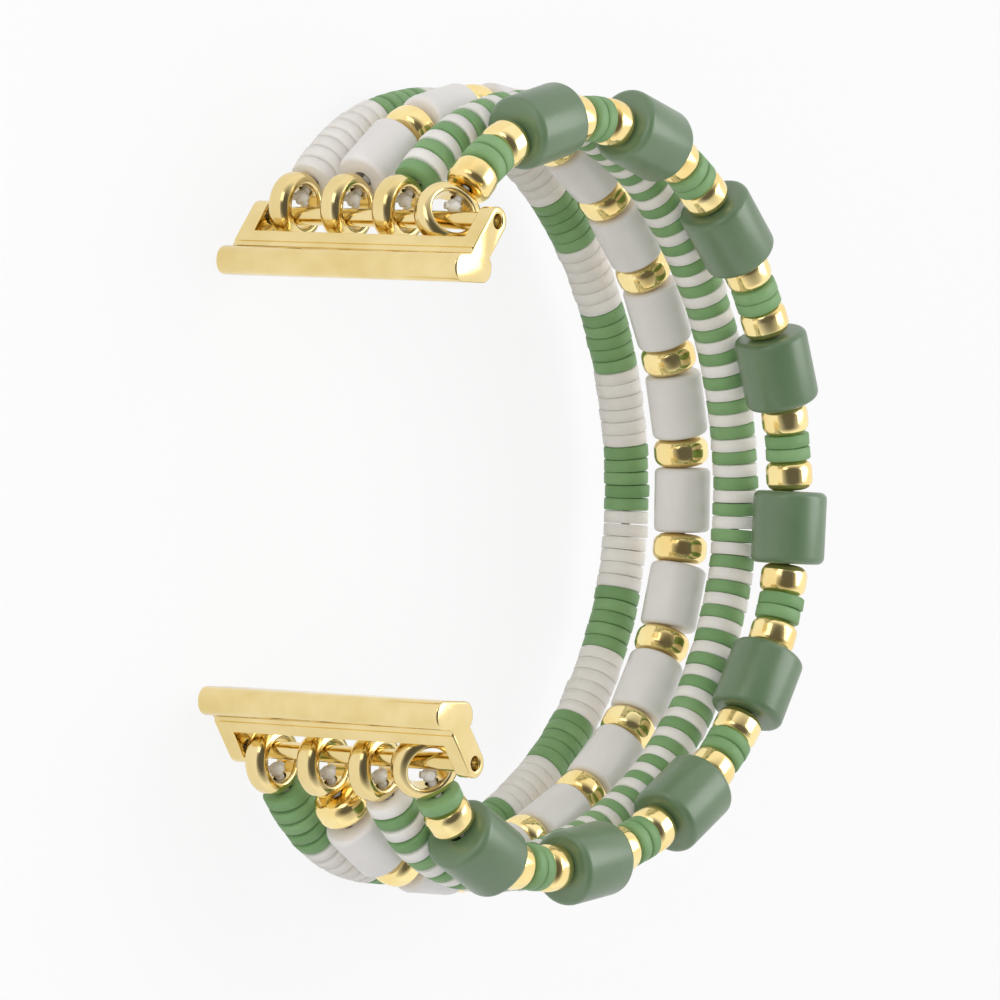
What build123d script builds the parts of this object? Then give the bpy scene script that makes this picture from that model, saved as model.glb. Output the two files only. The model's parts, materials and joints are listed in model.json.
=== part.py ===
from build123d import *

import os
from math import asin, atan2, cos, degrees, radians, sin, sqrt

# Bead watch band, lying on its side as it would on a table. Millimetres and degrees.
# +Z goes up along the spring bars, +Y goes to the 12 o'clock adapter, +X goes to the
# back of the wrist. Strand 1 lies lowest and strand 4 lies on top.

os.makedirs("parts", exist_ok=True)

# Loop
bar_spacing = 44.3
bar_setback = 14.9
loop_radius = 35.1
exit_angles = {"12": 48.5, "6": 53.3}
shoulder_angles = {"12": 16.0, "6": 7.5}
shoulder_radii = {"12": 19.0, "6": 15.4}
back_offset = 2.1
strand_gap = 0.1
strand_shift = 1.02
strand_fans = (1.96, 3.1, 3.0, 3.95)
strand_outs = (0.0, 0.0, 0.0, 0.65)
flex_angle = 40.0

# Adapters
tongue_width = 5.0
tongue_thickness = 2.4
tongue_corner = 1.1
tongue_drop = 3.9
tongue_forward = 3.1
neck_width = 2.2
web_gap = 2.6
web_thickness = 1.2
ear_thickness = 1.5
ear_radius = 1.2
ring_room = 2.85

# Spring bars
bar_radius = 0.75
bar_wall = 0.15
bar_end_gap = 0.15
tip_radius = 0.55
tip_recess = 0.9
tip_inside = 3.2
bar_wire = 0.14
bar_coils = 8
running_gap = 0.05

# Latches
latch_radius = 0.75
latch_nose_radius = 0.5
latch_nose_out = 0.6
latch_head_length = 1.1
latch_bore_depth = 3.6
latch_lip = 0.5
latch_wire = 0.16
latch_coils = 4

# End rings
ring_radius = 2.9
ring_bore_radius = 1.85
ring_width = 2.15
ring_outer_round = 0.85
ring_inner_round = 0.22
turned_ring_angle = 35.0
turned_ring_strand = 4
bar_touch_gap = 0.04

# Beads and cord
disc_radius = 2.0
disc_thickness = 1.06
tube_radius = 3.2
tube_length = 6.2
tube_round = 0.6
tube_bore_radius = 0.85
white_tube_radius = 2.45
white_tube_length = 5.55
white_tube_round = 0.5
white_tube_bore_radius = 0.8
rondelle_radius = 2.0
rondelle_length = 2.55
wide_rondelle_radius = 2.35
wide_rondelle_length = 2.5
rondelle_round_share = 0.44
bead_bore_radius = 0.6
cord_radius = 0.4
knot_radius = 0.72
bead_gap_least = 0.02
block_count = 20
first_block_extra_count = 2
pairs_before_double_count = 3
slack_pass_count = 4
cut_overrun = 1.0

# Places that follow from the sizes above
strand_pitch = tube_radius + disc_radius + strand_gap
ear_span = 3 * strand_pitch + 2 * (ring_room + ear_thickness)
tongue_length = ear_span
loop_x = (bar_setback + tongue_forward + tongue_width / 2 - loop_radius - max(strand_outs)) / 2
bar_x = loop_x - bar_setback
bar_y = bar_spacing / 2
mid_z = tongue_length / 2
strand_zs = [mid_z - strand_shift + (i - 1.5) * strand_pitch for i in range(4)]
sides = {"12": 1, "6": -1}
ear_inner = ear_span / 2 - ear_thickness


def unit(angle):
    """Direction in the strand's plane, from an angle above +X."""
    return Vector(cos(radians(angle)), sin(radians(angle)))


def ring_offset(strand):
    """How far the ring's centre hangs off the bar's axis, with the bar against its bore."""
    turn = radians(turned_ring_angle) if strand == turned_ring_strand else 0
    room = ring_bore_radius - bar_radius / cos(turn) - bar_touch_gap
    sideways = ring_width / 2 * sin(turn) / cos(turn)
    return sqrt(max(room**2 - sideways**2, 0))


class StrandPath:
    """Centreline of one strand: three tangent arcs from a ring to the back, then mirrored."""

    def __init__(self, strand, bead_radius):
        self.strand = strand
        fan = radians(strand_fans[strand - 1])
        self.plane = Plane(
            origin=(bar_x, 0, strand_zs[strand - 1]),
            x_dir=(cos(fan), 0, sin(fan)),
            z_dir=(-sin(fan), 0, cos(fan)),
        )
        reach = bar_setback + loop_radius + strand_outs[strand - 1] - bead_radius
        self.back = Vector(reach, -back_offset)
        self.halves = {label: self.half_arcs(label) for label in sides}
        self.lengths = {label: sum(r * radians(a - b) for a, b, r in self.halves[label]) for label in sides}
        self.length = sum(self.lengths.values())

    def from_ring(self, label, distance):
        """Point straight out from a ring's centre, given as if at the 12 o'clock end."""
        return Vector(0, bar_y) + unit(exit_angles[label]) * (ring_offset(self.strand) + distance)

    def half_arcs(self, label):
        """Start heading, end heading and radius of the three arcs from a ring to the back."""
        shoulder = shoulder_angles[label]
        turns = [exit_angles[label], shoulder, (shoulder - 90) / 2, -90.0]
        back = Vector(self.back.X, sides[label] * self.back.Y)
        start = self.from_ring(label, ring_radius)
        start = start + self.arc_chord(turns[0], shoulder, shoulder_radii[label])
        radii = [shoulder_radii[label]] + self.closing_radii(back - start, turns[1:])
        return list(zip(turns, turns[1:], radii))

    def closing_radii(self, reach, turns):
        """Radii of the two arcs that bring the path to the back, square to it."""
        one = self.arc_chord(turns[0], turns[1], 1)
        two = self.arc_chord(turns[1], turns[2], 1)
        det = one.X * two.Y - one.Y * two.X
        return [(reach.X * two.Y - reach.Y * two.X) / det, (one.X * reach.Y - one.Y * reach.X) / det]

    def arc_chord(self, heading, end_heading, radius):
        """Step from an arc's start to its end, the arc turning clockwise."""
        a, b = radians(heading), radians(end_heading)
        return Vector(sin(a) - sin(b), cos(b) - cos(a)) * radius

    def at(self, distance):
        """Point, heading and radius of the path at a distance from the 12 o'clock ring."""
        label = "12" if distance <= self.lengths["12"] else "6"
        left = distance if label == "12" else self.length - distance
        point = self.from_ring(label, ring_radius)
        for heading, end_heading, radius in self.halves[label]:
            length = radius * radians(heading - end_heading)
            here = heading - degrees(min(left, length) / radius)
            point = point + self.arc_chord(heading, here, radius)
            left -= length
            if left <= 0:
                break
        if label == "6":
            return Vector(point.X, -point.Y), -180 - here, radius
        return point, here, radius

    def joints(self):
        """Distances at which one arc of the path hands over to the next."""
        marks = {label: [0] for label in sides}
        for label, arcs in self.halves.items():
            for heading, end_heading, radius in arcs:
                marks[label].append(marks[label][-1] + radius * radians(heading - end_heading))
        return marks["12"] + [self.length - mark for mark in reversed(marks["6"][:-1])]

    def placed(self, point):
        """Point of the band, from a point in the strand's own plane."""
        return self.plane.from_local_coords(point)

    def place(self, distance):
        """Plane across the cord at a distance, its Z along the strand."""
        point, heading, _ = self.at(distance)
        origin = self.placed(point)
        ahead = self.placed(point + unit(heading)) - origin
        return Plane(origin=origin, x_dir=self.plane.z_dir, z_dir=ahead)


class Bead:
    """Kind of bead: its outside, the rounding of its rims, how far out its flat end
    reaches, its length and its bore."""

    def __init__(self, radius, length, edge, bore=bead_bore_radius):
        self.radius = radius
        self.length = length
        self.edge = edge
        self.bore = bore
        self.end_radius = radius - edge


disc = Bead(disc_radius, disc_thickness, 0)
tube = Bead(tube_radius, tube_length, tube_round, tube_bore_radius)
white_tube = Bead(white_tube_radius, white_tube_length, white_tube_round, white_tube_bore_radius)
rondelle = Bead(rondelle_radius, rondelle_length, rondelle_length * rondelle_round_share)
wide_rondelle = Bead(
    wide_rondelle_radius, wide_rondelle_length, wide_rondelle_length * rondelle_round_share
)
ring_end = Bead(ring_radius, 2 * ring_radius, ring_radius)


def bead_spacing(bead, after, radius):
    """Path from one bead's middle to the next, the two touching at the inside of the bend."""
    alike = bead.end_radius == after.end_radius
    narrow, wide = sorted((bead, after), key=lambda one: one.end_radius)
    lever = radius - narrow.end_radius
    flat = narrow.length / 2 - narrow.edge
    reach = narrow.edge if alike else narrow.edge + wide.length / 2
    turn = atan2(flat, lever) + asin(reach / sqrt(lever**2 + flat**2))
    return radius * (2 * turn if alike else turn)


def bead_steps(beads, path):
    """Middle of each bead along the path, and the slack that each gap takes of the rest."""
    row = [ring_end] + beads + [ring_end]
    slack = 0
    for _ in range(slack_pass_count):
        middles = [-ring_radius]
        for bead, after in zip(row, row[1:]):
            here = middles[-1]
            ahead = here + (bead.length + after.length) / 2
            radius = min(path.at(here)[2], path.at(ahead)[2])
            middles.append(here + bead_spacing(bead, after, radius) + slack)
        slack += (path.length + ring_radius - middles[-1]) / (len(row) - 1)
    return middles[1:-1], slack


def count_that_fit(unit_beads, tail_beads, path):
    """Most repeats of a pattern, with a tail, that leave the least gap between beads."""
    repeats = 1
    while bead_steps(unit_beads * (repeats + 1) + tail_beads, path)[1] >= bead_gap_least:
        repeats += 1
    return repeats


def arc_of(path, distance):
    """Which rigid stretch of the strand a bead is on: upper, back or lower."""
    point = path.at(distance)[0]
    angle = degrees(atan2(point.Y, point.X - bar_setback))
    if angle > flex_angle:
        return "upper"
    return "back" if angle > -flex_angle else "lower"


def make_beads(name, bead, places):
    """One node of like beads, each a separate solid with its bore."""
    with BuildPart() as one:
        with BuildSketch():
            Circle(bead.radius)
            Circle(bead.bore, mode=Mode.SUBTRACT)
        extrude(amount=bead.length / 2, both=True)
        if bead.edge > 0:
            circles = one.edges().filter_by(GeomType.CIRCLE)
            fillet(circles.filter_by(lambda edge: edge.radius > bead.end_radius), bead.edge)
    with BuildPart() as group:
        with Locations(*places):
            add(one.part)
    group.part.label = name
    export_step(group.part, f"parts/{name}.step")


def make_ring(name, path, label):
    """Polished end ring hanging on the spring bar, with the cord's hole away from the bar."""
    side = sides[label]
    exit_way = unit(exit_angles[label])
    outward = Vector(exit_way.X, side * exit_way.Y)
    hanging = path.from_ring(label, 0)
    centre = Vector(bar_x + hanging.X, side * hanging.Y, strand_zs[path.strand - 1])
    turn = turned_ring_angle if path.strand == turned_ring_strand else 0
    axis = Vector(0, 0, 1).rotate(Axis((0, 0, 0), (outward.X, outward.Y, 0)), -side * turn)
    ring_plane = Plane(origin=centre, x_dir=outward, z_dir=axis)
    with BuildPart() as ring:
        with BuildSketch(ring_plane):
            Circle(ring_radius)
            Circle(ring_bore_radius, mode=Mode.SUBTRACT)
        extrude(amount=ring_width / 2, both=True)
        rims = ring.edges().filter_by(GeomType.CIRCLE).sort_by(SortBy.RADIUS)
        fillet(rims[-2:], ring_outer_round)
        fillet(rims[:2], ring_inner_round)
        hole_plane = Plane(origin=centre, z_dir=outward)
        with BuildSketch(hole_plane):
            Circle(bead_bore_radius)
        extrude(amount=ring_radius + cut_overrun, mode=Mode.SUBTRACT)
    ring.part.label = name
    export_step(ring.part, f"parts/{name}.step")


def make_cord(name, path):
    """Elastic cord along the strand, with a knot inside the bore of each end ring."""
    knot_out = ring_bore_radius - knot_radius - running_gap
    last = path.from_ring("6", knot_out)
    knots = [path.placed(path.from_ring("12", knot_out)), path.placed(Vector(last.X, -last.Y))]
    joints = path.joints()
    start, end = [path.placed(path.at(d)[0]) for d in (joints[0], joints[-1])]
    with BuildPart() as cord:
        with BuildLine() as route:
            Line(knots[0], start)
            for low, high in zip(joints, joints[1:]):
                ThreePointArc(*[path.placed(path.at(d)[0]) for d in (low, (low + high) / 2, high)])
            Line(end, knots[1])
        with BuildSketch(Plane(origin=knots[0], z_dir=start - knots[0])):
            Circle(cord_radius)
        sweep(path=route.wires()[0])
        with Locations(*knots):
            Sphere(knot_radius)
    cord.part.label = name
    export_step(cord.part, f"parts/{name}.step")


def strand_recipe(strand, path):
    """Beads of one strand in order, each with the name of the group that it belongs to."""
    if strand == 1:
        count = count_that_fit([disc], [], path)
        share = block_count / (count - first_block_extra_count)
        blocks = [int(max(k - first_block_extra_count, 0) * share) for k in range(count)]
        return [(("white_discs", "green_discs")[block % 2], disc) for block in blocks]
    if strand == 3:
        count = count_that_fit([disc], [], path)
        return [(("green_discs", "white_discs")[k % 2], disc) for k in range(count)]
    if strand == 2:
        pair = [("white_tubes", white_tube), ("rondelles", wide_rondelle)]
        repeats = count_that_fit([white_tube, wide_rondelle], [wide_rondelle], path)
        head = pair * pairs_before_double_count + [("rondelles", wide_rondelle)]
        return head + pair * (repeats - pairs_before_double_count)
    spacer = [("rondelles", rondelle), ("green_discs", disc), ("green_discs", disc)]
    unit_beads = spacer + [("rondelles", rondelle), ("sage_tubes", tube)]
    kinds = [bead for _, bead in unit_beads]
    tail = spacer[:2]
    repeats = count_that_fit(kinds, [bead for _, bead in tail], path)
    return unit_beads * repeats + tail


def make_strand(strand, bead_radius):
    """End rings, cord and bead groups of one strand."""
    path = StrandPath(strand, bead_radius)
    for label in sides:
        make_ring(f"end_ring_{strand}_{label}", path, label)
    make_cord(f"elastic_cord_{strand}", path)
    recipe = strand_recipe(strand, path)
    middles, slack = bead_steps([bead for _, bead in recipe], path)
    groups = {}
    for (group, bead), middle in zip(recipe, middles):
        key = f"{group}_{strand}_{arc_of(path, middle)}"
        groups.setdefault(key, (bead, []))[1].append(path.place(middle))
    for name, (bead, places) in groups.items():
        make_beads(name, bead, places)
    radii = [round(r, 2) for arcs in path.halves.values() for _, _, r in arcs]
    print(f"strand {strand}: {len(recipe)} beads, length {path.length:.1f}, gap {slack:.3f}, radii {radii}")


def adapter_point(forward, drop, side):
    """Point beside the spring bar, from how far it is forward of it and inward of it."""
    return (bar_x - forward, side * (bar_y - drop))


def make_adapter(label, side):
    """Slide-in adapter: tongue, neck, web and the two ears that hold the spring bar."""
    slope = degrees(atan2(-side * tongue_drop, -tongue_forward))
    reach = sqrt(tongue_forward**2 + tongue_drop**2)
    tongue_at = adapter_point(tongue_forward, tongue_drop, side)
    neck_at = Location((bar_x, side * bar_y), slope)
    with BuildPart() as adapter:
        with BuildSketch(Plane.XY):
            with Locations(tongue_at):
                RectangleRounded(tongue_width, tongue_thickness, tongue_corner)
        extrude(amount=tongue_length)
        with BuildSketch(Plane.XY.offset(mid_z - ear_span / 2)):
            with Locations(neck_at):
                with Locations(((reach + web_gap) / 2, 0)):
                    Rectangle(reach - web_gap, neck_width)
                with Locations((web_gap + web_thickness / 2, 0)):
                    Rectangle(web_thickness, 2 * ear_radius)
        extrude(amount=ear_span)
        for low in (mid_z - ear_span / 2, mid_z + ear_inner):
            with BuildSketch(Plane.XY.offset(low)):
                with Locations((bar_x, side * bar_y)):
                    Circle(ear_radius)
                with Locations(neck_at):
                    with Locations(((web_gap + web_thickness) / 2, 0)):
                        Rectangle(web_gap + web_thickness, 2 * ear_radius)
            extrude(amount=ear_thickness)
        with BuildSketch(Plane.XY.offset(mid_z - ear_span / 2 - cut_overrun)):
            with Locations((bar_x, side * bar_y)):
                Circle(tip_radius + running_gap)
        extrude(amount=ear_span + 2 * cut_overrun, mode=Mode.SUBTRACT)
        mouth = Plane(origin=(tongue_at[0] + tongue_width / 2, tongue_at[1], mid_z), z_dir=(1, 0, 0))
        with BuildSketch(mouth):
            Circle(latch_nose_radius + running_gap)
        extrude(amount=-latch_bore_depth, mode=Mode.SUBTRACT)
        with BuildSketch(mouth.offset(-latch_lip)):
            Circle(latch_radius + running_gap)
        extrude(amount=latch_lip - latch_bore_depth, mode=Mode.SUBTRACT)
    adapter.part.label = f"adapter_{label}"
    export_step(adapter.part, f"parts/adapter_{label}.step")


def make_coil(name, base, direction, length, coil_radius, wire_radius, coils):
    """Hidden compression spring as one unbroken wire."""
    turning = Helix(pitch=length / coils, height=length, radius=coil_radius, center=base, direction=direction)
    with BuildPart() as spring:
        with BuildSketch(Plane(origin=turning @ 0, z_dir=turning % 0)):
            Circle(wire_radius)
        sweep(path=turning, is_frenet=True)
    spring.part.label = name
    export_step(spring.part, f"parts/{name}.step")


def make_latch(label, side):
    """Sprung latch button in the middle of the tongue, with its spring behind it."""
    face_x = bar_x - tongue_forward + tongue_width / 2
    centre_y = side * (bar_y - tongue_drop)
    lip = Plane(origin=(face_x - latch_lip - running_gap, centre_y, mid_z), z_dir=(1, 0, 0))
    with BuildPart() as latch:
        with BuildSketch(lip):
            Circle(latch_radius)
        extrude(amount=-latch_head_length)
        with BuildSketch(lip):
            Circle(latch_nose_radius)
        extrude(amount=latch_lip + running_gap + latch_nose_out)
        fillet(latch.faces().sort_by(Axis.X)[-1].edges(), latch_nose_radius / 2)
    latch.part.label = f"latch_button_{label}"
    export_step(latch.part, f"parts/latch_button_{label}.step")
    free = latch_bore_depth - latch_lip - running_gap - latch_head_length
    length = free - 2 * latch_wire
    base = (face_x - latch_bore_depth + latch_wire, centre_y, mid_z)
    coil_radius = latch_radius - latch_wire - running_gap
    make_coil(f"latch_spring_{label}", base, (1, 0, 0), length, coil_radius, latch_wire, latch_coils)


def make_spring_bar(label, side):
    """Spring bar: tube, a sprung tip in each end, and the spring between the tips."""
    tube_low = mid_z - ear_inner + bar_end_gap
    tube_high = mid_z + ear_inner - bar_end_gap
    centre = (bar_x, side * bar_y)
    inner = bar_radius - bar_wall
    with BuildPart() as bar:
        with BuildSketch(Plane.XY.offset(tube_low)):
            with Locations(centre):
                Circle(bar_radius)
                Circle(inner, mode=Mode.SUBTRACT)
        extrude(amount=tube_high - tube_low)
    bar.part.label = f"spring_bar_tube_{label}"
    export_step(bar.part, f"parts/spring_bar_tube_{label}.step")
    tip_out = ear_span / 2 - tip_recess
    for end, sign in (("low", -1), ("high", 1)):
        with BuildPart() as tip:
            with BuildSketch(Plane.XY.offset(mid_z + sign * (tip_out - ear_thickness - tip_inside))):
                with Locations(centre):
                    Circle(tip_radius)
            extrude(amount=sign * (ear_thickness + tip_inside))
        tip.part.label = f"bar_tip_{end}_{label}"
        export_step(tip.part, f"parts/bar_tip_{end}_{label}.step")
    spring_half = tip_out - ear_thickness - tip_inside - bar_wire
    coil_radius = inner - bar_wire - running_gap
    base = (bar_x, side * bar_y, mid_z - spring_half)
    make_coil(f"bar_spring_{label}", base, (0, 0, 1), 2 * spring_half, coil_radius, bar_wire, bar_coils)


def main():
    for label, side in sides.items():
        make_adapter(label, side)
        make_latch(label, side)
        make_spring_bar(label, side)
    for strand, bead_radius in ((1, disc_radius), (2, white_tube_radius), (3, disc_radius), (4, tube_radius)):
        make_strand(strand, bead_radius)
    print(f"loop centre x {loop_x:.3f}, bars at x {bar_x:.3f}, y {bar_y:.3f}, mid z {mid_z:.3f}")


main()
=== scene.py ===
"""Bead watch band: four stretchy strands of beads between two slide-in adapters."""

import json
import logging
import math
import random
from dataclasses import dataclass, replace
from enum import Enum
from typing import ClassVar

import bmesh
import bpy
import numpy as np
from mathutils import Matrix, Vector, noise


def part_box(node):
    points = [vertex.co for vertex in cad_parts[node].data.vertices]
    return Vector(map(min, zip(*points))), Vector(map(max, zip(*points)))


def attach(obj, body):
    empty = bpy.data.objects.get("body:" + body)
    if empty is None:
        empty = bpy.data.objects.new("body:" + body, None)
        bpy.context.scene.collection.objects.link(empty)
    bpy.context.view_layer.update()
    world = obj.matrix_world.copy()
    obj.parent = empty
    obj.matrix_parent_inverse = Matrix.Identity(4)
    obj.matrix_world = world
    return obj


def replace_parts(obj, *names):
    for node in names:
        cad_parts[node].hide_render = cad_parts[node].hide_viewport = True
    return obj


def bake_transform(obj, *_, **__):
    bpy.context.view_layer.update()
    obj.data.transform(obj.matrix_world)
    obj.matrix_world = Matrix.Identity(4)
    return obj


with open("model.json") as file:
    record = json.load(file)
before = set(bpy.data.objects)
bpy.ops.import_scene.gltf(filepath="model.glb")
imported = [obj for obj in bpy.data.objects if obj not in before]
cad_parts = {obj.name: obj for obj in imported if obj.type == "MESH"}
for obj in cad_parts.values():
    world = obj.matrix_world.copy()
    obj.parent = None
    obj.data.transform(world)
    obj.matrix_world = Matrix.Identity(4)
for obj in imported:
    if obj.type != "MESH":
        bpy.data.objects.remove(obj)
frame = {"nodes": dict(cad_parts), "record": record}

log = logging.getLogger("bead_band")
MM = 0.001
ENDS = ("12", "6")
ARCS = ("upper", "back", "lower")
JOIN_DISTANCE = 2e-6
DOUBLES_DISTANCE = 1e-8
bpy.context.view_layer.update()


class Slot(Enum):
    """Material slots of the record; each bead style keeps one."""

    GOLD_METAL = "gold_metal"
    GOLD_BEAD = "gold_bead"
    SPRING_STEEL = "spring_steel"
    GREEN_CLAY = "green_clay"
    WHITE_CLAY = "white_clay"
    SAGE_CERAMIC = "sage_ceramic"
    WHITE_CERAMIC = "white_ceramic"
    ELASTIC = "elastic"


class Value:
    """A shader socket that adds its Math nodes when it is used in an expression."""

    def __init__(self, graph: "Graph", socket: bpy.types.NodeSocket) -> None:
        """Keeps the socket and the graph that its Math nodes go into.

        Args:
            graph: Node graph of the material.
            socket: Output socket that this value stands for.
        """
        self.graph = graph
        self.socket = socket

    def _math(self, operation: str, first: object, second: object) -> "Value":
        """Adds one Math node.

        Args:
            operation: The Math node's operation.
            first: Value or number for its first socket.
            second: Value or number for its second socket.

        Returns:
            The node's result.
        """
        return self.graph.add("ShaderNodeMath", {"operation": operation}, {0: first, 1: second})

    def __add__(self, other: object) -> "Value":
        """Sum."""
        return self._math("ADD", self, other)

    def __radd__(self, other: object) -> "Value":
        """Sum, the number first."""
        return self._math("ADD", other, self)

    def __sub__(self, other: object) -> "Value":
        """Difference."""
        return self._math("SUBTRACT", self, other)

    def __rsub__(self, other: object) -> "Value":
        """Difference, the number first."""
        return self._math("SUBTRACT", other, self)

    def __mul__(self, other: object) -> "Value":
        """Product."""
        return self._math("MULTIPLY", self, other)

    def __rmul__(self, other: object) -> "Value":
        """Product, the number first."""
        return self._math("MULTIPLY", other, self)


class Graph:
    """Node graph of one material, with one method that adds any node."""

    def __init__(self, tree: bpy.types.NodeTree) -> None:
        """Clears a node tree for building.

        Args:
            tree: The tree of a material or of the world.
        """
        self.tree = tree
        tree.nodes.clear()

    def add(self, kind: str, settings: dict | None = None, sockets: dict | None = None,
            output: int | str = 0) -> Value:
        """Adds a node, its settings first, then the values or links of its sockets.

        Args:
            kind: The node's type.
            settings: Attributes of the node.
            sockets: Input names or numbers, with a Value to link or a constant.
            output: Which output the returned value stands for.

        Returns:
            The chosen output.
        """
        node = self.tree.nodes.new(kind)
        for key, setting in (settings or {}).items():
            setattr(node, key, setting)
        for key, given in (sockets or {}).items():
            if isinstance(given, Value):
                self.tree.links.new(given.socket, node.inputs[key])
            else:
                node.inputs[key].default_value = given
        return Value(self, node.outputs[output]) if len(node.outputs) else Value(self, None)

    def noise(self, scale: float, detail: float = 3.0, stretch: tuple = (1, 1, 1)) -> Value:
        """Noise on object coordinates.

        Args:
            scale: Cells per metre.
            detail: Octaves.
            stretch: Scale along each axis.

        Returns:
            The noise's factor, about 0.5.
        """
        place = self.add("ShaderNodeTexCoord", output="Object")
        mapped = self.add("ShaderNodeMapping", None, {"Vector": place, "Scale": stretch})
        return self.add("ShaderNodeTexNoise", None, {"Vector": mapped, "Scale": scale, "Detail": detail})

    def ramp(self, value: Value, low: float, high: float) -> Value:
        """Value stretched so that low becomes 0 and high becomes 1.

        Args:
            value: The value to stretch.
            low: Where the result is 0.
            high: Where the result is 1.

        Returns:
            The clamped result.
        """
        return self.add("ShaderNodeMapRange", {"clamp": True},
                        {"Value": value, "From Min": low, "From Max": high})

    def mix(self, factor: Value, first: object, second: object) -> Value:
        """Mix of two colours.

        Args:
            factor: 0 for the first colour, 1 for the second.
            first: Colour or Value.
            second: Colour or Value.

        Returns:
            The mixed colour.
        """
        return self.add("ShaderNodeMix", {"data_type": "RGBA"}, {"Factor": factor, 6: first, 7: second}, 2)

    def bump(self, height: Value, distance: float, strength: float = 1.0) -> Value:
        """Bump that feeds a shader's normal.

        Args:
            height: Height, 0 to 1.
            distance: Metres that a height of 1 stands for.
            strength: The bump's strength.

        Returns:
            The bumped normal.
        """
        return self.add("ShaderNodeBump", None, {"Height": height, "Distance": distance, "Strength": strength})


def srgb(red: int, green: int, blue: int) -> tuple:
    """Linear colour of three sRGB numbers from 0 to 255."""
    parts = [c / 255 for c in (red, green, blue)]
    return tuple(c / 12.92 if c <= 0.04045 else ((c + 0.055) / 1.055) ** 2.4 for c in parts) + (1.0,)


class Finish:
    """Base of the finishes: makes one material, once, and hands it out."""

    made: ClassVar[dict] = {}
    name: str

    def dress(self, graph: Graph) -> dict:
        """Sockets of the principled shader for this finish.

        Args:
            graph: Graph to add nodes to.

        Returns:
            The shader's sockets.
        """
        raise NotImplementedError

    def material(self) -> bpy.types.Material:
        """The finish's material, made at its first use."""
        if self.name not in Finish.made:
            made = bpy.data.materials.new(self.name)
            made.use_nodes = True
            graph = Graph(made.node_tree)
            surface = graph.add("ShaderNodeBsdfPrincipled", None, self.dress(graph))
            graph.add("ShaderNodeOutputMaterial", None, {"Surface": surface})
            Finish.made[self.name] = made
        return Finish.made[self.name]


@dataclass(frozen=True)
class ClayFinish(Finish):
    """Satin polymer clay, cut from rods: each bead's tint differs a little, with faint swirls."""

    name: str
    main: tuple
    pale: tuple
    deep: tuple
    roughness: float = 0.5
    gloss_spread: float = 0.14
    specular: float = 0.42
    swirl_scale: float = 420
    swirl_share: float = 0.35
    grain_scale: float = 5200
    grain_depth: float = 0.022 * MM

    def dress(self, graph: Graph) -> dict:
        """Tint by bead, soft swirls of darker clay and a fine cut grain.

        Args:
            graph: Graph to add nodes to.

        Returns:
            The shader's sockets.
        """
        tint = graph.add("ShaderNodeAttribute", {"attribute_name": "tint"}, output="Fac")
        swirl = graph.ramp(graph.noise(self.swirl_scale, 4), 0.38, 0.7)
        grain = graph.noise(self.grain_scale, 5)
        colour = graph.mix(tint, self.main, self.pale)
        colour = graph.mix(swirl * self.swirl_share, colour, self.deep)
        return {
            "Base Color": colour,
            "Roughness": self.roughness - self.gloss_spread / 2 + grain * self.gloss_spread,
            "Normal": graph.bump(grain * 0.7 + swirl * 0.3, self.grain_depth),
            "Specular IOR Level": self.specular,
        }


@dataclass(frozen=True)
class CeramicFinish(Finish):
    """Satin glazed tube bead: even colour with faint clouds, and small pits in the glaze."""

    name: str
    main: tuple
    pale: tuple
    deep: tuple
    roughness: float = 0.32
    gloss_spread: float = 0.12
    specular: float = 0.85
    tint_share: float = 0.6
    cloud_scale: float = 260
    cloud_share: float = 0.4
    pit_scale: float = 3600
    pit_depth: float = 0.016 * MM

    def dress(self, graph: Graph) -> dict:
        """Clouded glaze with shallow pits.

        Args:
            graph: Graph to add nodes to.

        Returns:
            The shader's sockets.
        """
        tint = graph.add("ShaderNodeAttribute", {"attribute_name": "tint"}, output="Fac")
        cloud = graph.ramp(graph.noise(self.cloud_scale, 4), 0.35, 0.68)
        pits = graph.noise(self.pit_scale, 4)
        colour = graph.mix(tint * self.tint_share, self.main, self.pale)
        colour = graph.mix(cloud * self.cloud_share, colour, self.deep)
        return {
            "Base Color": colour,
            "Roughness": self.roughness - self.gloss_spread / 2 + pits * self.gloss_spread,
            "Normal": graph.bump(pits * 0.6 + cloud * 0.4, self.pit_depth),
            "Specular IOR Level": self.specular,
        }


@dataclass(frozen=True)
class PlatedFinish(Finish):
    """Polished gold plate: clouded a little where it is handled, with hairline polish marks."""

    name: str
    main: tuple
    warm: tuple
    roughness: float = 0.1
    gloss_spread: float = 0.05
    cloud_scale: float = 300
    mark_scale: float = 1500
    ripple_scale: float = 700
    ripple_depth: float = 0.012 * MM

    def dress(self, graph: Graph) -> dict:
        """Two golds in soft clouds, with fine polish marks in the gloss.

        Args:
            graph: Graph to add nodes to.

        Returns:
            The shader's sockets.
        """
        cloud = graph.ramp(graph.noise(self.cloud_scale, 3), 0.35, 0.7)
        marks = graph.noise(self.mark_scale, 5, (1, 6, 1))
        return {
            "Base Color": graph.mix(cloud, self.main, self.warm),
            "Metallic": 1.0,
            "Roughness": self.roughness + cloud * self.gloss_spread + marks * self.gloss_spread,
            "Normal": graph.bump(graph.noise(self.ripple_scale, 2), self.ripple_depth, 0.6),
        }


@dataclass(frozen=True)
class SteelFinish(Finish):
    """Bright drawn steel of the bar tips and springs."""

    name: str
    main: tuple
    shaded: tuple
    roughness: float = 0.24
    gloss_spread: float = 0.12
    line_scale: float = 2600

    def dress(self, graph: Graph) -> dict:
        """Draw lines in the gloss.

        Args:
            graph: Graph to add nodes to.

        Returns:
            The shader's sockets.
        """
        lines = graph.noise(self.line_scale, 4, (1, 1, 0.1))
        return {
            "Base Color": graph.mix(lines, self.main, self.shaded),
            "Metallic": 1.0,
            "Roughness": self.roughness + lines * self.gloss_spread,
        }


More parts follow.
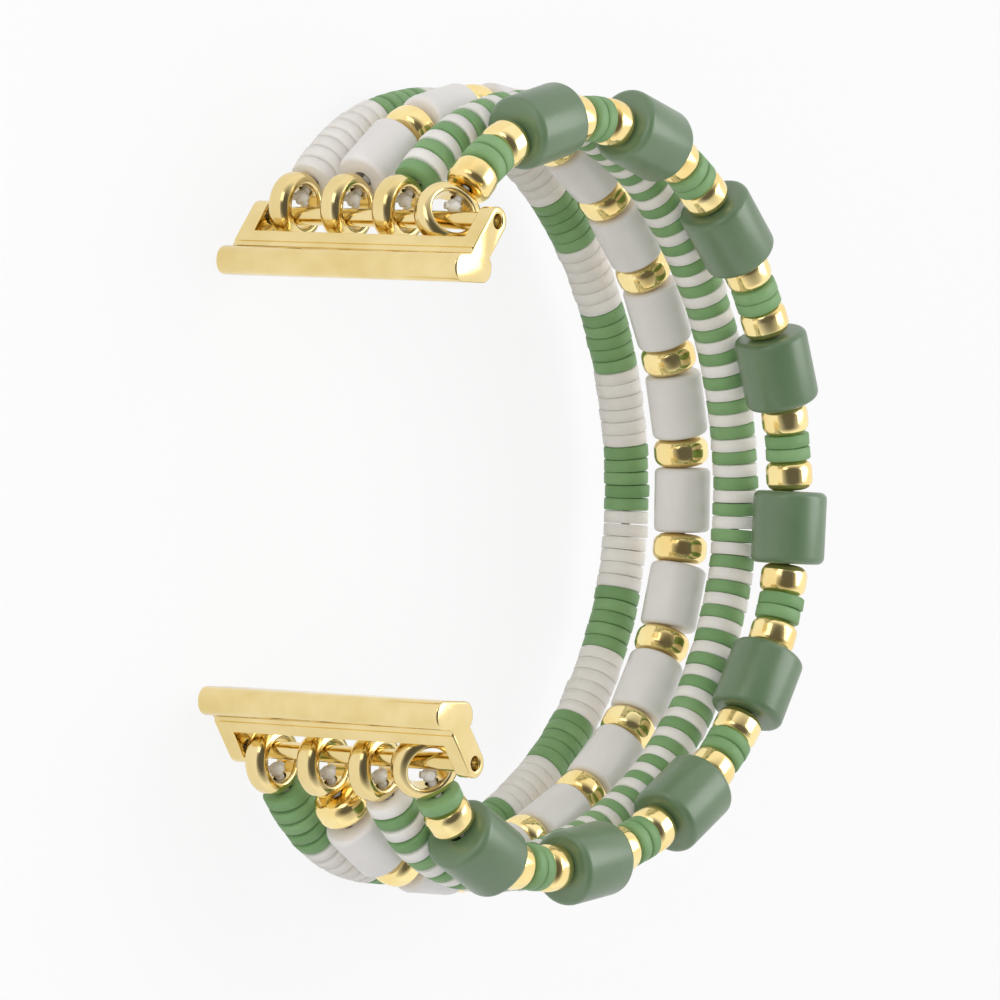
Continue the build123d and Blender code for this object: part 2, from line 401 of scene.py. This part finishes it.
@dataclass(frozen=True)
class ElasticFinish(Finish):
    """Milky stretch cord with a faint lengthwise grain."""

    name: str
    main: tuple
    shaded: tuple
    roughness: float = 0.38
    gloss_spread: float = 0.1
    grain_scale: float = 2200
    grain_depth: float = 0.01 * MM

    def dress(self, graph: Graph) -> dict:
        """Milky colour with fine grain.

        Args:
            graph: Graph to add nodes to.

        Returns:
            The shader's sockets.
        """
        grain = graph.noise(self.grain_scale, 3)
        return {
            "Base Color": graph.mix(grain, self.main, self.shaded),
            "Roughness": self.roughness + grain * self.gloss_spread,
            "Normal": graph.bump(grain, self.grain_depth),
        }


GREEN_CLAY = ClayFinish("green_clay", srgb(120, 160, 105), srgb(138, 176, 122), srgb(98, 140, 86))
WHITE_CLAY = ClayFinish("white_clay", srgb(236, 232, 227), srgb(243, 240, 235), srgb(222, 217, 212))
SAGE_CERAMIC = CeramicFinish("sage_ceramic", srgb(97, 123, 88), srgb(108, 134, 98), srgb(84, 110, 77))
WHITE_CERAMIC = CeramicFinish("white_ceramic", srgb(233, 229, 226), srgb(240, 237, 234), srgb(221, 216, 213))
PALE_GOLD = PlatedFinish("pale_gold_plate", srgb(242, 220, 162), srgb(232, 208, 142))
WARM_GOLD = PlatedFinish("warm_gold_plate", srgb(255, 236, 172), srgb(250, 218, 142))
STEEL = SteelFinish("spring_steel", srgb(196, 196, 194), srgb(150, 150, 148))
ELASTIC = ElasticFinish("stretch_cord", srgb(236, 233, 226), srgb(214, 210, 200))


def finished(bm: bmesh.types.BMesh, name: str, finish: Finish, body: str | None,
             sharp: float = 40.0) -> bpy.types.Object:
    """Turns a bmesh into a dressed piece, which rides on a body if one is given.

    Args:
        bm: The built shape, in metres, in its place.
        name: Name of the piece.
        finish: Its finish.
        body: The CAD body that carries it, or None for a piece left on no body.
        sharp: Angle in degrees above which an edge stays sharp.

    Returns:
        The piece.
    """
    bmesh.ops.remove_doubles(bm, verts=bm.verts, dist=DOUBLES_DISTANCE)
    bmesh.ops.recalc_face_normals(bm, faces=bm.faces)
    mesh = bpy.data.meshes.new(name)
    bm.to_mesh(mesh)
    bm.free()
    mesh.polygons.foreach_set("use_smooth", [True] * len(mesh.polygons))
    mesh.set_sharp_from_angle(angle=math.radians(sharp))
    mesh.materials.append(finish.material())
    piece = bpy.data.objects.new(name, mesh)
    bpy.context.scene.collection.objects.link(piece)
    if body:
        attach(piece, body)
    log.info("%s: %d faces on %s", name, len(mesh.polygons), body or "two bodies")
    return piece


def body_of(node: str) -> str:
    """Name of the CAD body that a node rides on."""
    groups = frame["record"]["behaviour"]["bodies"]
    return next(body for body, members in groups.items() if node in members)


def turned(profile: list, steps: int) -> bmesh.types.BMesh:
    """A closed profile spun once about Z.

    Args:
        profile: Radius and height of each corner, in metres, in order round the outline.
        steps: Segments of the spin.

    Returns:
        The spun shape.
    """
    bm = bmesh.new()
    corners = [bm.verts.new((radius, 0, height)) for radius, height in profile]
    edges = [bm.edges.new(pair) for pair in zip(corners, corners[1:] + corners[:1])]
    bmesh.ops.spin(bm, geom=corners + edges, cent=(0, 0, 0), axis=(0, 0, 1), dvec=(0, 0, 0),
                   angle=math.tau, steps=steps, use_merge=True, use_duplicate=False)
    return bm


def rounded(radius: float, half: float, bore: float, corner: float, segments: int) -> list:
    """Outline of a bead's wall: bore, flat ends and rounded outer corners.

    Args:
        radius: Outer radius.
        half: Half length.
        bore: Bore radius.
        corner: Corner radius.
        segments: Steps of each rounded corner.

    Returns:
        Radius and height of each corner, for turned().
    """
    quarter = [math.radians(90 * k / segments) for k in range(segments + 1)]
    top = [(radius - corner + corner * math.sin(a), half - corner + corner * math.cos(a)) for a in quarter]
    bottom = [(r, -h) for r, h in reversed(top)]
    return [(bore, half)] + top + bottom + [(bore, -half)]


@dataclass(frozen=True)
class Seat:
    """Where one bead sits, read from its CAD solid."""

    centre: Vector
    axis: Vector
    radius: float
    length: float

    def round_loop(self) -> float:
        """How far round the loop the seat is, from the 12 o'clock end."""
        return -math.atan2(self.centre.y, self.centre.x - Loop.middle_x)

    def placing(self, turn: float, tilt: float, tilt_way: float, shift: float) -> Matrix:
        """Matrix from a bead built about Z to its seat, a little askew.

        Args:
            turn: Spin about its own axis.
            tilt: Lean away from the cord, in radians.
            tilt_way: Direction of the lean.
            shift: Slip to the side, in metres.

        Returns:
            The placing matrix.
        """
        upright = self.axis.to_track_quat("Z", "Y").to_matrix().to_4x4()
        lean = Matrix.Rotation(tilt, 4, Vector((math.cos(tilt_way), math.sin(tilt_way), 0)))
        slip = Matrix.Translation((shift * math.cos(turn), shift * math.sin(turn), 0))
        return Matrix.Translation(self.centre) @ upright @ slip @ lean @ Matrix.Rotation(turn, 4, "Z")


def merged(node: str) -> bmesh.types.BMesh:
    """Copy of a CAD node's mesh with its loose triangles joined up.

    Args:
        node: Name of the node.

    Returns:
        The joined copy.
    """
    bm = bmesh.new()
    bm.from_mesh(frame["nodes"][node].data)
    bmesh.ops.remove_doubles(bm, verts=bm.verts, dist=JOIN_DISTANCE)
    return bm


def islands(node: str) -> list:
    """Corner points of each separate solid in a CAD node.

    Args:
        node: Name of the node.

    Returns:
        One array of points for each solid.
    """
    bm = merged(node)
    left = set(bm.verts)
    found = []
    for start in bm.verts:
        if start not in left:
            continue
        left.remove(start)
        reached = [start]
        for vert in reached:
            for edge in vert.link_edges:
                other = edge.other_vert(vert)
                if other in left:
                    left.remove(other)
                    reached.append(other)
        found.append(np.array([v.co for v in reached]))
    bm.free()
    return found


def seats_in(node: str) -> list:
    """Seats of all beads in a CAD node, in order round the loop.

    Args:
        node: Name of the node.

    Returns:
        The seats.
    """
    seats = []
    for points in islands(node):
        spread = points - points.mean(0)
        values, vectors = np.linalg.eigh(spread.T @ spread)
        odd = 0 if values[1] - values[0] > values[2] - values[1] else 2
        along = spread @ vectors[:, odd]
        middle = points.mean(0) + vectors[:, odd] * (along.max() + along.min()) / 2
        flat = spread - np.outer(along, vectors[:, odd])
        seats.append(Seat(Vector(middle), Vector(vectors[:, odd]), float(np.linalg.norm(flat, axis=1).max()),
                          float(along.max() - along.min())))
    return sorted(seats, key=Seat.round_loop)


class Loop:
    """Where the loop's middle is, and the height that the camera looks at, in metres."""

    middle_x = -7.625 * MM
    seen_z = 13.9 * MM


@dataclass(frozen=True)
class BeadStyle:
    """How the beads of one kind are shaped and dressed, and how loosely they sit on the cord."""

    finish: Finish
    slot: Slot
    bore: float
    corner: float
    corner_steps: int
    steps: int
    lean: float
    slip: float
    uneven: float = 0.0
    size_spread: float = 0.0


GREEN_DISC = BeadStyle(GREEN_CLAY, Slot.GREEN_CLAY, bore=0.6 * MM, corner=0.09 * MM, corner_steps=1, steps=28,
                       lean=0.012, slip=0.06 * MM, uneven=0.08 * MM, size_spread=0.03)
WHITE_DISC = replace(GREEN_DISC, finish=WHITE_CLAY, slot=Slot.WHITE_CLAY)
SAGE_TUBE = BeadStyle(SAGE_CERAMIC, Slot.SAGE_CERAMIC, bore=0.85 * MM, corner=0.6 * MM, corner_steps=5,
                      steps=64, lean=0.008, slip=0.03 * MM, uneven=0.05 * MM, size_spread=0.01)
WHITE_TUBE = BeadStyle(WHITE_CERAMIC, Slot.WHITE_CERAMIC, bore=0.8 * MM, corner=0.45 * MM, corner_steps=4,
                       steps=56, lean=0.012, slip=0.05 * MM, uneven=0.05 * MM, size_spread=0.01)
RONDELLE = BeadStyle(WARM_GOLD, Slot.GOLD_BEAD, bore=0.6 * MM, corner=0.8 * MM, corner_steps=7, steps=56,
                     lean=0.03, slip=0.05 * MM)
WIDE_RONDELLE = replace(RONDELLE, corner=0.95 * MM)


@dataclass
class BeadGroup:
    """Like beads of one strand and one arc, each built about Z and set on its seat."""

    node: str
    style: BeadStyle
    wave_scale: ClassVar[float] = 520
    wave_middle: ClassVar[float] = 0.4
    wall_share: ClassVar[float] = 0.6
    sharp: ClassVar[float] = 50

    def build(self) -> bpy.types.Object:
        """Builds the group's piece in place of its CAD node.

        Returns:
            The piece.
        """
        style = self.style
        chance = random.Random(sum(map(ord, self.node)))
        whole = bmesh.new()
        tint = whole.verts.layers.float.new("tint")
        for seat in seats_in(self.node):
            size = 1 - chance.uniform(0, style.size_spread)
            outline = rounded(seat.radius * size, seat.length / 2, style.bore, style.corner,
                              style.corner_steps)
            one = turned(outline, style.steps)
            self._roughen(one, chance.uniform(0, 100), seat.radius * size)
            place = seat.placing(chance.uniform(0, math.tau), chance.uniform(0, style.lean),
                                 chance.uniform(0, math.tau), chance.uniform(0, style.slip))
            self._gather(whole, one, place, tint, chance.random())
        piece = finished(whole, f"{self.node}_beads", style.finish, body_of(self.node),
                         self.sharp)
        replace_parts(piece, self.node)
        return piece

    def _roughen(self, bm: bmesh.types.BMesh, seed: float, radius: float) -> None:
        """Moves the outer wall in and out a little, so that no bead is a perfect turning.

        Args:
            bm: The bead.
            seed: Where in the noise this bead lies.
            radius: Its outer radius.
        """
        if not self.style.uneven:
            return
        for vert in bm.verts:
            flat = Vector((vert.co.x, vert.co.y, 0))
            if flat.length > radius * self.wall_share:
                wave = noise.noise(vert.co * self.wave_scale + Vector((seed, 0, 0)))
                vert.co += flat.normalized() * (wave - self.wave_middle) * self.style.uneven

    def _gather(self, whole: bmesh.types.BMesh, one: bmesh.types.BMesh, place: Matrix,
                layer: bmesh.types.BMLayerItem, value: float) -> None:
        """Adds a placed bead to the group.

        Args:
            whole: The group.
            one: The bead, which is freed.
            place: Its placing.
            layer: Layer for the bead's tint.
            value: The bead's tint.
        """
        bmesh.ops.transform(one, matrix=place, verts=one.verts)
        held = bpy.data.meshes.new("held")
        one.to_mesh(held)
        one.free()
        before = len(whole.verts)
        whole.from_mesh(held)
        bpy.data.meshes.remove(held)
        whole.verts.ensure_lookup_table()
        for vert in whole.verts[before:]:
            vert[layer] = value


@dataclass
class Cord:
    """Elastic cord of one strand, in two halves that meet inside the middle bead."""

    number: int
    kinds: tuple
    radius: float = 0.38 * MM
    knot_radius: float = 0.68 * MM
    knot_out: float = 1.05 * MM
    tail_length: float = 0.9 * MM
    sides: int = 12
    lump_depth: ClassVar[float] = 0.14
    lump_count: ClassVar[int] = 3
    lump_twist: ClassVar[float] = 5
    tail_slimness: ClassVar[float] = 0.8
    tail_splay: ClassVar[float] = 0.8
    tail_back: ClassVar[float] = 0.5
    tail_out: ClassVar[float] = 0.5

    def build(self) -> None:
        """Builds both halves in place of the CAD cord."""
        arcs = [self._centres(arc) for arc in ARCS]
        middle = len(arcs[1]) // 2
        halves = (("12", arcs[0], arcs[1][:middle + 1]), ("6", arcs[2][::-1], arcs[1][middle:][::-1]))
        made = [self._half(end, near, far) for end, near, far in halves]
        for piece in made:
            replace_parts(piece, f"elastic_cord_{self.number}")

    def _centres(self, arc: str) -> list:
        """Bead middles of one arc, in order from the 12 o'clock end.

        Args:
            arc: Which rigid stretch of the strand.

        Returns:
            The middles.
        """
        nodes = [f"{kind}_{self.number}_{arc}" for kind in self.kinds]
        seats = [seat for node in nodes if node in frame["nodes"] for seat in seats_in(node)]
        return [seat.centre for seat in sorted(seats, key=Seat.round_loop)]

    def _half(self, end: str, near: list, far: list) -> bpy.types.Object:
        """One half of the cord, from its knot inside a ring to the strand's middle.

        Args:
            end: Which adapter it hangs from.
            near: Bead middles of the stretch that hangs from the ring, outward.
            far: Bead middles of the back stretch, as far as the middle.

        Returns:
            The piece.
        """
        low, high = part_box(f"end_ring_{self.number}_{end}")
        ring = (low + high) / 2
        knot = ring + (near[0] - ring).normalized() * self.knot_out
        points = [knot, knot.lerp(near[0], 0.5)] + near + far
        bm = self._tube(smoothed(points))
        self._knot(bm, knot, (near[0] - knot).normalized())
        stretch = "upper" if end == "12" else "lower"
        piece = finished(bm, f"elastic_cord_{self.number}_{stretch}_cord", ELASTIC, None)
        held, back = body_of(f"end_ring_{self.number}_{end}"), body_of(f"elastic_cord_{self.number}")
        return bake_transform(piece)

    def _tube(self, points: list) -> bmesh.types.BMesh:
        """Round tube along a route.

        Args:
            points: The route.

        Returns:
            The tube.
        """
        bm = bmesh.new()
        across = (points[1] - points[0]).orthogonal().normalized()
        last = None
        for count, point in enumerate(points):
            ahead = (points[min(count + 1, len(points) - 1)] - points[max(count - 1, 0)]).normalized()
            across = (across - ahead * across.dot(ahead)).normalized()
            up = ahead.cross(across)
            turns = [math.tau * k / self.sides for k in range(self.sides)]
            spokes = [across * math.cos(a) + up * math.sin(a) for a in turns]
            ring = [bm.verts.new(point + spoke * self.radius) for spoke in spokes]
            if last:
                for k in range(self.sides):
                    bm.faces.new((last[k - 1], last[k], ring[k], ring[k - 1]))
            last = ring
        return bm

    def _knot(self, bm: bmesh.types.BMesh, centre: Vector, ahead: Vector) -> None:
        """Tight overhand knot: a lumpy ball with two cut tails.

        Args:
            bm: The cord's mesh, which gains the knot.
            centre: Middle of the knot.
            ahead: Direction of the cord out of the ring.
        """
        ball = bmesh.ops.create_icosphere(bm, subdivisions=3, radius=self.knot_radius)["verts"]
        side = ahead.orthogonal().normalized()
        for vert in ball:
            turn = math.atan2(vert.co.y, vert.co.x)
            wave = math.sin(self.lump_count * turn + vert.co.z / self.knot_radius * self.lump_twist)
            vert.co *= 1 - self.lump_depth * (0.5 + 0.5 * wave)
        bmesh.ops.translate(bm, verts=ball, vec=centre)
        slim = self.radius * self.tail_slimness
        for way in (side, -side):
            tail = bmesh.ops.create_cone(bm, cap_ends=True, segments=self.sides, radius1=slim, radius2=slim,
                                         depth=self.tail_length)["verts"]
            lean = (way * self.tail_splay - ahead * self.tail_back).normalized()
            turn = lean.to_track_quat("Z", "Y").to_matrix().to_4x4()
            move = Matrix.Translation(centre + lean * (self.knot_radius * self.tail_out)) @ turn
            bmesh.ops.transform(bm, matrix=move, verts=tail)


@dataclass
class Strand:
    """One strand: its bead groups, cord and end rings."""

    number: int
    kinds: tuple
    styles: ClassVar[dict] = {
        "green_discs": GREEN_DISC,
        "white_discs": WHITE_DISC,
        "sage_tubes": SAGE_TUBE,
        "white_tubes": WHITE_TUBE,
    }

    def build(self) -> None:
        """Builds the strand's bead groups and dresses its rings."""
        for kind in self.kinds:
            for arc in ARCS:
                node = f"{kind}_{self.number}_{arc}"
                if node in frame["nodes"]:
                    self.group(kind, node).build()
        for end in ENDS:
            dress_node(f"end_ring_{self.number}_{end}", PALE_GOLD)
        Cord(self.number, self.kinds).build()

    def group(self, kind: str, node: str) -> BeadGroup:
        """The bead group of one kind.

        Args:
            kind: Kind of bead.
            node: The group's CAD node.

        Returns:
            The group, ready to build.
        """
        if kind == "rondelles":
            return BeadGroup(node, WIDE_RONDELLE if self.number == 2 else RONDELLE)
        return BeadGroup(node, self.styles[kind])


def smoothed(points: list, steps: int = 4) -> list:
    """Smooth route through all points.

    Args:
        points: The points.
        steps: New points for each step of the route.

    Returns:
        The finer route.
    """
    held = [points[0] * 2 - points[1]] + points + [points[-1] * 2 - points[-2]]
    route = []
    for a, b, c, d in zip(held, held[1:], held[2:], held[3:]):
        for k in range(steps):
            t = k / steps
            bend = (a * 2 - b * 5 + c * 4 - d) * t * t + (b * 3 - a - c * 3 + d) * t * t * t
            route.append((b * 2 + (c - a) * t + bend) / 2)
    return route + [points[-1]]


def dress_node(node: str, finish: Finish) -> None:
    """Gives a kept CAD node its finish.

    Args:
        node: Name of the node.
        finish: The finish.
    """
    materials = frame["nodes"][node].data.materials
    materials.clear()
    materials.append(finish.material())
    log.info("%s: kept, dressed in %s", node, finish.name)


@dataclass
class Adapter:
    """Slide-in adapter with its latch and spring bar."""

    end: str
    edge_round: float = 0.16 * MM
    edge_steps: int = 3
    flat_within: float = 1
    edge_from: float = 35
    sharp: float = 30

    def build(self) -> None:
        """Builds the adapter's body and dresses its small parts."""
        self._body()
        for stem in ("latch_button", "spring_bar_tube"):
            dress_node(f"{stem}_{self.end}", PALE_GOLD)
        for stem in ("bar_tip_low", "bar_tip_high"):
            dress_node(f"{stem}_{self.end}", STEEL)
        for side in ("low", "high"):
            self._bar_spring(side)
        self._latch_spring()

    def _bar_spring(self, side: str) -> None:
        """One half of the bar's spring, squeezed between its tip and the tube's middle.

        Args:
            side: Which tip presses on it, low or high.
        """
        node = f"bar_spring_{self.end}"
        low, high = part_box(node)
        middle = (low + high) / 2
        foot = Vector((middle.x, middle.y, low.z if side == "low" else high.z))
        bm = merged(node)
        whole = list(bm.verts) + list(bm.edges) + list(bm.faces)
        bmesh.ops.bisect_plane(bm, geom=whole, plane_co=middle, plane_no=middle - foot, clear_outer=True)
        bmesh.ops.holes_fill(bm, edges=[edge for edge in bm.edges if edge.is_boundary])
        piece = finished(bm, f"{node}_{side}_half", STEEL, None)
        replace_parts(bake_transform(piece, f"tip_{side}_{self.end}", body_of(node), foot, middle), node)

    def _latch_spring(self) -> None:
        """The latch's spring, squeezed between the bore's end and the button."""
        node = f"latch_spring_{self.end}"
        low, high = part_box(node)
        middle = (low + high) / 2
        back, front = (Vector((x, middle.y, middle.z)) for x in (low.x, high.x))
        piece = finished(merged(node), f"{node}_coil", STEEL, None)
        button = body_of(f"latch_button_{self.end}")
        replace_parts(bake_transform(piece, body_of(f"adapter_{self.end}"), button, back, front), node)

    def _body(self) -> None:
        """Cast body with all its edges rounded over by the polishing."""
        node = f"adapter_{self.end}"
        bm = merged(node)
        bmesh.ops.dissolve_limit(bm, angle_limit=math.radians(self.flat_within), verts=bm.verts,
                                 edges=bm.edges, use_dissolve_boundaries=False, delimit={"NORMAL"})
        edges = [edge for edge in bm.edges if edge.calc_face_angle(0) > math.radians(self.edge_from)]
        bmesh.ops.bevel(bm, geom=edges, offset=self.edge_round, offset_type="OFFSET",
                        segments=self.edge_steps, profile=0.5, affect="EDGES", clamp_overlap=False,
                        material=-1)
        piece = finished(bm, f"{node}_body", PALE_GOLD, body_of(node), self.sharp)
        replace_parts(piece, node)


@dataclass(frozen=True)
class Lamp:
    """Square soft lamp, and the way to it in shares of the camera's right, up and back."""

    name: str
    way: tuple
    size: float
    power: float
    mirrored: bool = True


LAMPS = (
    Lamp("left_lamp", (-0.3, 0.5, 0.75), size=0.14, power=0.08),
    Lamp("front_lamp", (-0.1, 0.0, 1.0), size=0.25, power=0.42, mirrored=False),
    Lamp("right_lamp", (0.95, 0.2, 0.1), size=0.2, power=0.3),
)


@dataclass
class Studio:
    """Pale floor, soft light with a dark side behind the camera, and the camera.

    The angles are in degrees, the lengths in metres, and the picture's numbers in its pixels.
    """

    swing: float = 35.8
    rise: float = 0.5
    roll: float = 2.4
    distance: float = 0.80
    lamp_distance: float = 0.3
    pixels_per_mm: float = 11.97
    picture: float = 1000
    centre: tuple = (487.7, 490.7)
    sensor: float = 36.0
    floor_size: float = 3
    floor_gap: float = 0.05 * MM
    floor_glow: float = 0.86
    floor_colour: tuple = (0.86, 0.86, 0.86, 1)
    white: tuple = (1, 1, 1, 1)
    dark_way: tuple = (0.28, 0.05)
    dark_from: float = 0.88
    light_from: float = 0.35
    least_light: float = 0.16
    light_rise: float = 0.62
    gloss_drop: float = 0.04
    gloss_rise: float = 0.28

    def axes(self) -> tuple:
        """The camera's right, up and back directions.

        Returns:
            The three directions, rolled as the photograph is.
        """
        swing, rise, roll = (math.radians(v) for v in (self.swing, self.rise, self.roll))
        right = Vector((math.sin(swing), 0, math.cos(swing)))
        back = Vector((-math.cos(swing) * math.cos(rise), math.sin(rise), math.sin(swing) * math.cos(rise)))
        up = back.cross(right)
        rolled_right = right * math.cos(roll) + up * math.sin(roll)
        rolled_up = up * math.cos(roll) - right * math.sin(roll)
        return (rolled_right, rolled_up, back)

    def build(self) -> None:
        """Makes the camera, floor, world and lamps."""
        self._camera()
        self._floor()
        self._world()
        for lamp in LAMPS:
            self._lamp(lamp)
        scene = bpy.context.scene
        scene.view_settings.view_transform = "Standard"

    def _camera(self) -> None:
        """Camera at the photograph's angle, with the shift that its framing needs."""
        right, up, back = self.axes()
        data = bpy.data.cameras.new("camera")
        data.sensor_width = self.sensor
        data.lens = self.pixels_per_mm * self.distance / MM / self.picture * self.sensor
        data.shift_x = 0.5 - self.centre[0] / self.picture
        data.shift_y = self.centre[1] / self.picture - 0.5
        data.clip_start, data.clip_end = 0.01, 20
        camera = bpy.data.objects.new("camera", data)
        turn = Matrix((right, up, back)).transposed().to_4x4()
        camera.matrix_world = Matrix.Translation(self.middle() + back * self.distance) @ turn
        bpy.context.scene.collection.objects.link(camera)
        bpy.context.scene.camera = camera

    def middle(self) -> Vector:
        """Middle of the loop."""
        return Vector((Loop.middle_x, 0, Loop.seen_z))

    def _floor(self) -> None:
        """Plain pale floor under the band."""
        bm = bmesh.new()
        bmesh.ops.create_grid(bm, x_segments=1, y_segments=1, size=self.floor_size)
        mesh = bpy.data.meshes.new("floor")
        bm.to_mesh(mesh)
        bm.free()
        mesh.transform(Matrix.Translation((0, 0, -self.floor_gap)))
        made = bpy.data.materials.new("floor_white")
        made.use_nodes = True
        graph = Graph(made.node_tree)
        rays = graph.add("ShaderNodeLightPath", output="Is Camera Ray")
        gloss = graph.add("ShaderNodeLightPath", output="Is Glossy Ray")
        matt = graph.add("ShaderNodeBsdfDiffuse", None, {"Color": self.floor_colour})
        glow = graph.add("ShaderNodeEmission", None, {"Color": self.white, "Strength": 1.0})
        seen = (rays + gloss) * self.floor_glow
        surface = graph.add("ShaderNodeMixShader", None, {0: seen, 1: matt, 2: glow})
        graph.add("ShaderNodeOutputMaterial", None, {"Surface": surface})
        mesh.materials.append(made)
        floor = bpy.data.objects.new("floor", mesh)
        bpy.context.scene.collection.objects.link(floor)

    def _world(self) -> None:
        """Soft pale surroundings, dark behind the camera, with more contrast in what gloss mirrors."""
        right, up, back = self.axes()
        dark_right, dark_down = self.dark_way
        dark_way = (back + right * dark_right - up * dark_down).normalized()
        world = bpy.data.worlds.new("studio")
        bpy.context.scene.world = world
        world.use_nodes = True
        graph = Graph(world.node_tree)
        way = graph.add("ShaderNodeTexCoord", output="Generated")
        facing = graph.add("ShaderNodeVectorMath", {"operation": "DOT_PRODUCT"},
                           {0: way, 1: tuple(dark_way)}, "Value")
        level = graph.ramp(facing, self.dark_from, self.light_from)
        rays = graph.add("ShaderNodeLightPath", output="Is Camera Ray")
        gloss = graph.add("ShaderNodeLightPath", output="Is Glossy Ray")
        contrast = level * self.gloss_rise - self.gloss_drop
        strength = level * self.light_rise + self.least_light + gloss * contrast
        light = graph.add("ShaderNodeBackground", None, {"Color": self.white, "Strength": strength})
        plain = graph.add("ShaderNodeBackground", None, {"Color": self.white, "Strength": 1.0})
        surface = graph.add("ShaderNodeMixShader", None, {0: rays, 1: light, 2: plain})
        graph.add("ShaderNodeOutputWorld", None, {"Surface": surface})

    def _lamp(self, lamp: Lamp) -> None:
        """Makes a lamp that faces the loop's middle.

        Args:
            lamp: The lamp's description. Polished pieces don't mirror the lamp if it says so.
        """
        way = sum((axis * share for axis, share in zip(self.axes(), lamp.way)), Vector())
        data = bpy.data.lights.new(lamp.name, "AREA")
        data.size = lamp.size
        data.energy = lamp.power
        made = bpy.data.objects.new(lamp.name, data)
        made.visible_glossy = lamp.mirrored
        made.location = self.middle() + way.normalized() * self.lamp_distance
        made.rotation_mode = "QUATERNION"
        made.rotation_quaternion = way.to_track_quat("Z", "Y")
        bpy.context.scene.collection.objects.link(made)


def main() -> None:
    """Builds the studio and the band, piece by piece."""
    logging.basicConfig(level=logging.INFO, format="%(message)s")
    Studio().build()
    for end in ENDS:
        Adapter(end).build()
    Strand(1, ("white_discs", "green_discs")).build()
    Strand(2, ("white_tubes", "rondelles")).build()
    Strand(3, ("green_discs", "white_discs")).build()
    Strand(4, ("sage_tubes", "rondelles", "green_discs")).build()
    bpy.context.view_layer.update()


if __name__ == "__main__":
    main()
